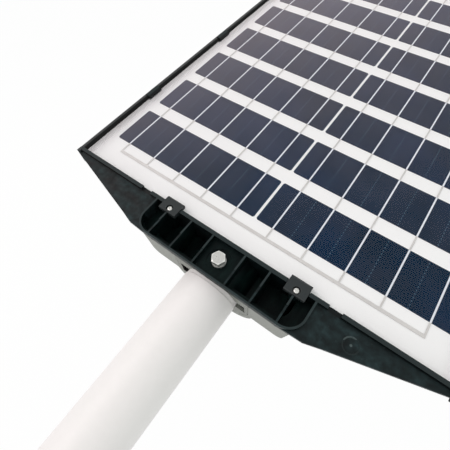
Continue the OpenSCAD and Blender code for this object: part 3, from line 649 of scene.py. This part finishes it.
def merged_copy(node, name):
    """A copy of a CAD node whose loose triangles are merged and whose flat faces are whole."""
    piece = bpy.data.objects.new(name, frame["nodes"][node].data.copy())
    bpy.context.collection.objects.link(piece)
    only(piece)
    bpy.ops.mesh.customdata_custom_splitnormals_clear()
    bpy.ops.object.mode_set(mode="EDIT")
    bpy.ops.mesh.select_all(action="SELECT")
    bpy.ops.mesh.remove_doubles(threshold=0.002 * MM)
    bpy.ops.mesh.dissolve_limited(angle_limit=math.radians(0.4))
    bpy.ops.object.mode_set(mode="OBJECT")
    piece.data.materials.clear()
    return piece


def rounded(piece, width, edge_slot, limit):
    """Rounds a piece's sharp edges and shades the rest smooth."""
    only(piece)
    bpy.ops.object.shade_smooth_by_angle(angle=math.radians(limit))
    bpy.ops.object.modifier_add(type="BEVEL")
    bevel = piece.modifiers[-1]
    bevel.width = width
    bevel.segments = 2
    bevel.limit_method = "ANGLE"
    bevel.angle_limit = math.radians(limit)
    bevel.use_clamp_overlap = True
    bevel.harden_normals = True
    bevel.material = edge_slot
    bpy.ops.object.modifier_apply(modifier=bevel.name)
    return piece


def stands_for(piece, slot, *nodes):
    """Puts a piece in the place of CAD nodes, on their body."""
    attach(piece, frame["nodes"][nodes[0]]["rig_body"])
    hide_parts(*nodes)
    return piece


def dressed(node, slot, materials, width=0.0, limit=38):
    """A merged copy of a node with its finish, rounded where a width is given."""
    piece = merged_copy(node, node + "_dressed")
    for material in materials:
        piece.data.materials.append(material)
    if width:
        rounded(piece, width, len(materials) - 1, limit)
    else:
        only(piece)
        bpy.ops.object.shade_smooth_by_angle(angle=math.radians(limit))
    return stands_for(piece, slot, node)


def coated(material, *nodes):
    """Gives CAD nodes that stay their finish."""
    for node in nodes:
        data = frame["nodes"][node].data
        data.materials.clear()
        data.materials.append(material)


def spots(node):
    """Lowest and highest corner of each solid in a node."""
    merged_copy(node, node + "_spots")
    bpy.ops.object.mode_set(mode="EDIT")
    bpy.ops.mesh.select_all(action="SELECT")
    bpy.ops.mesh.separate(type="LOOSE")
    bpy.ops.object.mode_set(mode="OBJECT")
    found = []
    for solid in list(bpy.context.selected_objects):
        points = [vertex.co for vertex in solid.data.vertices]
        low = Vector([min(point[k] for point in points) for k in range(3)])
        high = Vector([max(point[k] for point in points) for k in range(3)])
        found.append((low, high))
        bpy.data.objects.remove(solid)
    return found


def pick(piece, test):
    """In edit mode, selects the faces whose middle passes a test, and nothing else."""
    bpy.ops.mesh.select_mode(type="FACE")
    bpy.ops.mesh.select_all(action="DESELECT")
    bpy.ops.object.mode_set(mode="OBJECT")
    for face in piece.data.polygons:
        face.select = test(face.center, face.normal)
    bpy.ops.object.mode_set(mode="EDIT")


def refinish(piece, material, test):
    """Gives another finish to the faces whose middle passes a test."""
    piece.data.materials.append(material)
    only(piece)
    bpy.ops.object.mode_set(mode="EDIT")
    pick(piece, test)
    piece.active_material_index = len(piece.data.materials) - 1
    bpy.ops.object.material_slot_assign()
    bpy.ops.object.mode_set(mode="OBJECT")


def inside(low, high):
    """A test for faces whose middle lies in a box."""
    return lambda middle, normal: all(low[k] < middle[k] < high[k] for k in range(3))


def pick_edges(piece, test):
    """In edit mode, selects the edges whose two ends pass a test, and nothing else."""
    bpy.ops.mesh.select_mode(type="EDGE")
    bpy.ops.mesh.select_all(action="DESELECT")
    bpy.ops.object.mode_set(mode="OBJECT")
    points = piece.data.vertices
    for edge in piece.data.edges:
        edge.select = test(points[edge.vertices[0]].co, points[edge.vertices[1]].co)
    bpy.ops.object.mode_set(mode="EDIT")


def copies(model, places, name):
    """Copies a model to each place, with its own mesh, and joins the copies into one piece."""
    made = []
    for place in places:
        copy = model.copy()
        copy.data = model.data.copy()
        copy.data.transform(place)
        bpy.context.collection.objects.link(copy)
        made.append(copy)
    bpy.data.objects.remove(model)
    only(*made)
    bpy.ops.object.join()
    made[0].name = name
    made[0].data.name = name
    return made[0]


def carve(piece, tool, operation):
    """Cuts a piece with a tool, which is used up."""
    only(piece)
    bpy.ops.object.modifier_add(type="BOOLEAN")
    cut = piece.modifiers[-1]
    cut.operation = operation
    cut.object = tool
    cut.solver = "EXACT"
    bpy.ops.object.modifier_apply(modifier=cut.name)
    bpy.data.objects.remove(tool)


def cross_screw(radius, height, shank_radius, shank, recess):
    """A pan-head screw with a cross recess, its seat at the origin and its head up."""
    bpy.ops.object.select_all(action="DESELECT")
    bpy.ops.mesh.primitive_cylinder_add(
        vertices=32, radius=radius, depth=height, location=(0, 0, height / 2)
    )
    screw = bpy.context.object
    bpy.ops.object.transform_apply(location=True, rotation=True, scale=True)
    bpy.ops.object.mode_set(mode="EDIT")
    pick_edges(screw, lambda a, b: min(a.z, b.z) > 0.99 * height)
    bpy.ops.mesh.bevel(offset=0.55 * height, segments=4, affect="EDGES")
    pick(screw, lambda middle, normal: normal.z < -0.9)
    bpy.ops.mesh.inset(thickness=radius - shank_radius)
    bpy.ops.mesh.extrude_region_move(TRANSFORM_OT_translate={"value": (0, 0, -shank)})
    bpy.ops.object.mode_set(mode="OBJECT")
    for turn in (0, 1):
        bpy.ops.object.select_all(action="DESELECT")
        bpy.ops.mesh.primitive_cube_add(size=1, location=(0, 0, height))
        blade = bpy.context.object
        arm = 1.1 * radius
        blade.scale = (recess, arm, 0.9 * height) if turn else (arm, recess, 0.9 * height)
        bpy.ops.object.transform_apply(location=True, rotation=True, scale=True)
        carve(screw, blade, "DIFFERENCE")
    only(screw)
    bpy.ops.object.shade_smooth_by_angle(angle=math.radians(30))
    return screw


def chamfered(bolt, low, high):
    """Turns the corners off a bolt's head at 30 degrees, with the second finish, a painted
    highlight, on the cut.
    """
    reach = 0.1
    slope = math.tan(math.radians(30))
    face = 0.4 * (high.x - low.x)
    tip = high.z + face * slope
    middle = (low + high) / 2
    bpy.ops.object.select_all(action="DESELECT")
    base = (middle.x, middle.y, tip - reach / 2)
    bpy.ops.mesh.primitive_cone_add(vertices=96, radius1=reach / slope, depth=reach, location=base)
    cone = bpy.context.object
    bpy.ops.object.transform_apply(location=True, rotation=True, scale=True)
    for material in bolt.data.materials:
        cone.data.materials.append(material)
    for side in cone.data.polygons:
        side.material_index = 1
    carve(bolt, cone, "INTERSECT")
    only(bolt)
    bpy.ops.mesh.customdata_custom_splitnormals_clear()
    bpy.ops.object.shade_smooth_by_angle(angle=math.radians(25))


def screw_set(node, material, slot, head, recess, up):
    """Cross-recess screws in the place of a node's plain ones."""
    found = spots(node)
    low, high = found[0]
    radius = (high.x - low.x) / 2
    screw = cross_screw(radius, head, 0.45 * radius, high.z - low.z - head, recess)
    screw.data.materials.append(material)
    turn = Matrix.Identity(4) if up else Matrix.Rotation(math.pi, 4, "X")
    places = []
    for k, (low, high) in enumerate(found):
        middle = (low + high) / 2
        seat = high.z - head if up else low.z + head
        twist = Matrix.Rotation(0.7 * k, 4, "Z")
        places.append(Matrix.Translation((middle.x, middle.y, seat)) @ twist @ turn)
    return stands_for(copies(screw, places, node + "_cross"), slot, node)


class DressArm(bpy.types.Operator):
    """Coats the arm white and leaves its bore and ends bare"""

    bl_idname = "street_lamp.dress_arm"
    bl_label = "Dress the arm"

    def execute(self, context):
        coat = powder_coat(context.scene.lamp_colours)
        dressed("arm_tube", "arm_white", [coat], 0.4 * MM)
        return {"FINISHED"}


class DressTray(bpy.types.Operator):
    """Moulds the black tray and its two rear clips, with edges rubbed and painted paler as a
    highlight, and painted shade in the tray's pocket
    """

    bl_idname = "street_lamp.dress_tray"
    bl_label = "Dress the tray and clips"

    def execute(self, context):
        looks = context.scene.lamp_colours
        details = context.scene.lamp_details
        edge = worn_and_highlit_edge("tray_edge_wear_and_highlight", tuple(looks.tray_edge))
        tint = tuple(looks.tray)
        body = moulded_black("tray_black_plastic", tint, 0.7 * MM, 0.46, 0.14, MOULD_MARK)
        tray = dressed("upper_tray", "tray_black", [body, edge], details.tray_edge)
        # Painted shade: the pocket's faces get a darker copy of the tray's plastic.
        pocket_shade_tint = scaled(looks.tray, 0.5)
        pocket_painted_shade = moulded_black("pocket_painted_shade_plastic", pocket_shade_tint, 0.9 * MM, 0.34, 0.05, streaks=0.6)
        refinish(tray, pocket_painted_shade, inside(POCKET_LOW, POCKET_HIGH))
        clip = moulded_black("clip_black_plastic", tuple(looks.clip), 0.9 * MM, 0.42, 0.25)
        for node in ("rear_clip_left", "rear_clip_right"):
            dressed(node, "clip_black", [clip, edge], details.clip_edge)
        return {"FINISHED"}


class DressPanel(bpy.types.Operator):
    """Lays the cut-corner cells on their white sheet under the pane"""

    bl_idname = "street_lamp.dress_panel"
    bl_label = "Dress the solar panel"

    def execute(self, context):
        looks = context.scene.lamp_colours
        details = context.scene.lamp_details
        places = spots("solar_cells")
        size = places[0][1] - places[0][0]
        bpy.ops.object.select_all(action="DESELECT")
        bpy.ops.mesh.primitive_cube_add(size=1)
        cell = bpy.context.object
        cell.scale = size + Vector((details.cell_reach, 0, 0))
        bpy.ops.object.transform_apply(location=True, rotation=True, scale=True)
        bpy.ops.object.mode_set(mode="EDIT")
        pick_edges(cell, lambda a, b: abs(a.z - b.z) > 0.5 * size.z)
        bpy.ops.mesh.bevel(offset=details.cell_corner, segments=1, affect="EDGES")
        bpy.ops.object.mode_set(mode="OBJECT")
        cell.data.materials.append(cell_face(looks, details))
        moves = []
        for low, high in places:
            middle = (low + high) / 2
            middle.x -= math.copysign(details.cell_reach / 2, middle.x)
            moves.append(Matrix.Translation(middle))
        stands_for(copies(cell, moves, "cut_corner_cells"), "cell_blue", "solar_cells")
        coated(tinned_ribbon(looks), "cell_ribbons")
        coated(white_sheet(looks), "back_sheet")
        coated(clear_glass(), "solar_glass")
        coated(soft_rubber("panel_seal_rubber", (0.004, 0.004, 0.004), 0.02, 0.1), "panel_seal")
        box = moulded_black("junction_box_plastic", (0.014, 0.014, 0.014), 0.8 * MM, 0.5, 0.3)
        coated(box, "junction_box")
        return {"FINISHED"}


class DressClamp(bpy.types.Operator):
    """Plates the clamp bolt, with a painted highlight on its edges, its washers and nut, and paints
    the cast socket, with painted shade in its left slot
    """

    bl_idname = "street_lamp.dress_clamp"
    bl_label = "Dress the clamp"

    def execute(self, context):
        looks = context.scene.lamp_colours
        details = context.scene.lamp_details
        steel = plated_steel("bolt_zinc", tuple(looks.steel), 0.26, 0.5)
        # Painted highlight: a paler steel for the bolt's rounded edges and chamfer.
        painted_highlight_steel = plated_steel("bolt_edge_painted_highlight", scaled(looks.steel, 1.45), 0.2, 0.5)
        bolt = dressed("clamp_bolt", "steel_plain", [steel, painted_highlight_steel], details.steel_edge, 25)
        chamfered(bolt, *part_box("clamp_bolt"))
        for node in ("clamp_spring_washer", "clamp_flat_washer", "clamp_nut"):
            dressed(node, "steel_plain", [steel], 0.6 * details.steel_edge)
        cast = painted_casting("socket_cast_paint", scaled(looks.casing, 0.92), 0.5)
        socket = dressed("pole_socket", "casing_grey", [cast], details.casing_edge)
        # Painted shade: a near-black finish inside the left slot of the socket.
        shadow = painted_casting("socket_slot_painted_shade", (0.008, 0.008, 0.008), 0.7)
        refinish(socket, shadow, inside(SLOT_LOW, SLOT_HIGH))
        return {"FINISHED"}


class DressCasing(bpy.types.Operator):
    """Paints the lower casing and lays its rubber gasket"""

    bl_idname = "street_lamp.dress_casing"
    bl_label = "Dress the lower casing"

    def execute(self, context):
        looks = context.scene.lamp_colours
        details = context.scene.lamp_details
        paint = painted_casting("casing_grey_paint", tuple(looks.casing), 0.44)
        dressed("lower_casing", "casing_grey", [paint], details.casing_edge)
        coated(soft_rubber("casing_gasket_rubber", (0.02, 0.02, 0.02)), "casing_gasket")
        return {"FINISHED"}


class DressLights(bpy.types.Operator):
    """Finishes the lens plates, the lights behind them and their heat spreader"""

    bl_idname = "street_lamp.dress_lights"
    bl_label = "Dress the light engine"

    def execute(self, context):
        looks = context.scene.lamp_colours
        lens = clear_lens(looks)
        rubber = soft_rubber("lens_gasket_rubber", (0.05, 0.05, 0.05))
        board = circuit_board("led_board_white", (0.82, 0.82, 0.8), (0.7, 0.71, 0.7))
        for side in ("left", "right"):
            dressed("lens_plate_" + side, "lens_clear", [lens], 0.0, 40)
            coated(rubber, "lens_gasket_" + side)
            coated(board, "led_board_" + side)
        coated(light_chip(looks), "led_chips")
        coated(brushed_sheet("spreader_aluminium", (0.75, 0.75, 0.75)), "heat_spreader")
        return {"FINISHED"}


class DressSensor(bpy.types.Operator):
    """Finishes the sensor's dome, the indicator, the power button and their board"""

    bl_idname = "street_lamp.dress_sensor"
    bl_label = "Dress the sensor strip"

    def execute(self, context):
        looks = context.scene.lamp_colours
        dome = frosted_dome("sensor_dome_milky", (0.82, 0.82, 0.8), 1.1 * MM)
        dressed("sensor_dome", "dome_white", [dome], 0.3 * MM)
        pin = frosted_dome("indicator_milky", (0.8, 0.82, 0.8), 5 * MM)
        dressed("indicator_pin", "dome_white", [pin], 0.3 * MM)
        button = soft_rubber("button_rubber_red", (0.28, 0.02, 0.018))
        dressed("power_button", "button_rubber", [button], 0.4 * MM)
        black = moulded_black("switch_plastic", (0.012, 0.012, 0.012), 0.6 * MM, 0.5, 0.3)
        coated(black, "switch_body", "switch_plunger")
        board = circuit_board("sensor_board_green", tuple(looks.board), BOARD_TRACK)
        coated(board, "sensor_board")
        coated(plated_steel("sensor_can", (0.6, 0.6, 0.58)), "sensor_element")
        return {"FINISHED"}


class DressPower(bpy.types.Operator):
    """Finishes the battery in its cradle and the controller"""

    bl_idname = "street_lamp.dress_power"
    bl_label = "Dress the battery and controller"

    def execute(self, context):
        looks = context.scene.lamp_colours
        coated(shrink_sleeve(looks), "battery_cells")
        cradle = moulded_black("cradle_plastic", (0.02, 0.02, 0.02), 0.8 * MM, 0.5, 0.3)
        coated(cradle, "battery_cradle")
        coated(plated_steel("link_nickel", (0.65, 0.63, 0.58)), "battery_links", "controller_posts")
        board = circuit_board("controller_green", tuple(looks.board), BOARD_TRACK)
        coated(board, "controller_board")
        resin = moulded_black("component_resin", (0.018, 0.018, 0.018), 0.5 * MM, 0.55, 0.3)
        coated(resin, "controller_parts")
        return {"FINISHED"}


class FitScrews(bpy.types.Operator):
    """Fits cross-recess screws in the clips, ears, lens plates and socket"""

    bl_idname = "street_lamp.fit_screws"
    bl_label = "Fit the screws"

    def execute(self, context):
        looks = context.scene.lamp_colours
        recess = context.scene.lamp_details.recess
        steel = plated_steel("screw_zinc", tuple(looks.steel), 0.3)
        # Painted highlight: the rear clips' screws get a paler copy of the screw steel.
        painted_highlight_steel = plated_steel("clip_screw_zinc", scaled(looks.steel, 1.5), 0.24, 0.5)
        screw_set("rear_clip_screws", painted_highlight_steel, "steel_plain", 1.8 * MM, recess, True)
        screw_set("casing_screws", steel, "steel_plain", 2.5 * MM, 1.6 * recess, False)
        screw_set("lens_screws", steel, "steel_plain", 1.8 * MM, 1.1 * recess, False)
        screw_set("socket_screws", steel, "steel_plain", 2.5 * MM, 1.6 * recess, False)
        return {"FINISHED"}


class SetStage(bpy.types.Operator):
    """Lays a pale floor and sets soft light and the camera"""

    bl_idname = "street_lamp.set_stage"
    bl_label = "Set the stage"

    def execute(self, context):
        studio = context.scene.lamp_studio
        bpy.ops.object.select_all(action="DESELECT")
        bpy.ops.mesh.primitive_circle_add(
            vertices=64, radius=FLOOR_RADIUS, fill_type="NGON", location=(0, 0, -studio.floor_drop)
        )
        floor = bpy.context.object
        bpy.ops.object.transform_apply(location=True, rotation=True, scale=True)
        floor.name = "studio_floor"
        floor.data.materials.append(pale_floor())
        white_world(context.scene, studio.world)
        for spot, size, share, tint, mirrored in LAMPS:
            bpy.ops.object.light_add(type="AREA", location=spot)
            lamp = bpy.context.object
            lamp.data.size = size
            lamp.data.energy = studio.key * share
            lamp.data.color = tint
            lamp.visible_glossy = mirrored
            lamp.rotation_euler = (LAMP_AIM - Vector(spot)).to_track_quat("-Z", "Y").to_euler()
        bpy.ops.object.camera_add()
        camera = bpy.context.object
        turn = Matrix((CAMERA_RIGHT, CAMERA_UP, CAMERA_BACK)).transposed().to_4x4()
        camera.matrix_world = Matrix.Translation(CAMERA_PLACE) @ turn
        camera.data.sensor_width = 36
        camera.data.lens = studio.lens
        camera.data.shift_x, camera.data.shift_y = CAMERA_SHIFT
        camera.data.clip_start = 0.01
        context.scene.camera = camera
        context.scene.view_settings.view_transform = "Standard"
        return {"FINISHED"}


def pale_floor():
    """White floor that keeps a shadow and meets the background without an edge."""
    finish = Finish("studio_floor_white")
    paper = finish.between(finish.noise(0.4), 0.88, 0.9)
    tone = finish.add("ShaderNodeCombineColor", {}, {0: paper, 1: paper, 2: paper})
    matt = finish.add("ShaderNodeBsdfDiffuse", {}, {"Color": tone})
    glow = finish.add("ShaderNodeEmission", {}, {"Color": (1, 1, 1), "Strength": 1.0})
    share = finish.looked_at() * 0.93
    finish.close(finish.add("ShaderNodeMixShader", {}, {0: share, 1: matt, 2: glow}))
    return finish.material


def white_world(scene, strength):
    """Even light, with a white background where the camera, metal and glass look."""
    world = bpy.data.worlds.new("studio_world")
    scene.world = world
    finish = Finish("studio_world", world)
    sockets = {"Color": (0.96, 1, 0.972), "Strength": strength}
    even = finish.add("ShaderNodeBackground", {}, sockets)
    white = finish.add("ShaderNodeBackground", {}, {"Color": (1, 1, 1), "Strength": 1.0})
    share = finish.looked_at()
    finish.close(finish.add("ShaderNodeMixShader", {}, {0: share, 1: even, 2: white}))


PIECES = (
    DressArm,
    DressTray,
    DressPanel,
    DressClamp,
    DressCasing,
    DressLights,
    DressSensor,
    DressPower,
    FitScrews,
    SetStage,
)


class StreetLampPanel(bpy.types.Panel):
    """Lists the lamp's pieces in the sidebar"""

    bl_idname = "VIEW3D_PT_street_lamp"
    bl_label = "Street lamp"
    bl_space_type = "VIEW_3D"
    bl_region_type = "UI"
    bl_category = "Street lamp"

    def draw(self, context):
        for piece in PIECES:
            self.layout.operator(piece.bl_idname)
        scene = context.scene
        for group in (scene.lamp_colours, scene.lamp_details, scene.lamp_studio):
            column = self.layout.column()
            for key in group.__annotations__:
                column.prop(group, key)


CLASSES = (LampColours, LampDetails, LampStudio, *PIECES, StreetLampPanel)


def register():
    for kind in CLASSES:
        bpy.utils.register_class(kind)
    bpy.types.Scene.lamp_colours = PointerProperty(type=LampColours)
    bpy.types.Scene.lamp_details = PointerProperty(type=LampDetails)
    bpy.types.Scene.lamp_studio = PointerProperty(type=LampStudio)


def unregister():
    for key in ("lamp_colours", "lamp_details", "lamp_studio"):
        delattr(bpy.types.Scene, key)
    for kind in reversed(CLASSES):
        bpy.utils.unregister_class(kind)


def main():
    register()
    for piece in PIECES:
        group, action = piece.bl_idname.split(".")
        getattr(getattr(bpy.ops, group), action)()


if __name__ == "__main__":
    main()
